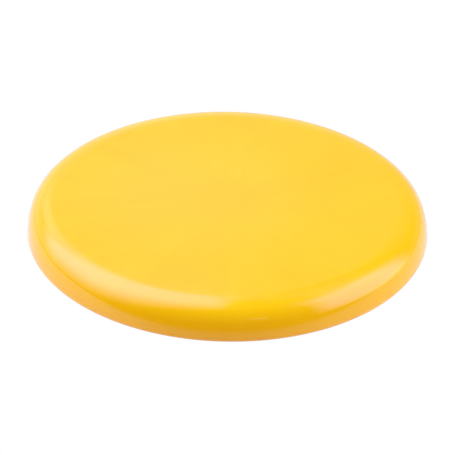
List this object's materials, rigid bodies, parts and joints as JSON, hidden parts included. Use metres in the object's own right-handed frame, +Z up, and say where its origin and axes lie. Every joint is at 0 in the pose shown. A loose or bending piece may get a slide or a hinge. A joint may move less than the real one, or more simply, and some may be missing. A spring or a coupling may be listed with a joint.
{
  "type": "flying disc",
  "caption": "Round throwing disc, moulded in one piece: crowned closed top, soft rounded shoulder, curved rim with a thickened lip, open underside.",
  "frame": {"origin": "under the disc's centre, on the surface that the lip rests on", "axes": "+Z up along the disc's axis, towards the crowned top; +X and +Y are any two directions across the disc, since it is round"},
  "size_m": [0.23, 0.23, 0.0215],
  "materials": {
    "disc_plastic": "gloss"
  },
  "bodies": {
    "root": {"disc": "disc_plastic"}
  },
  "joints": []
}
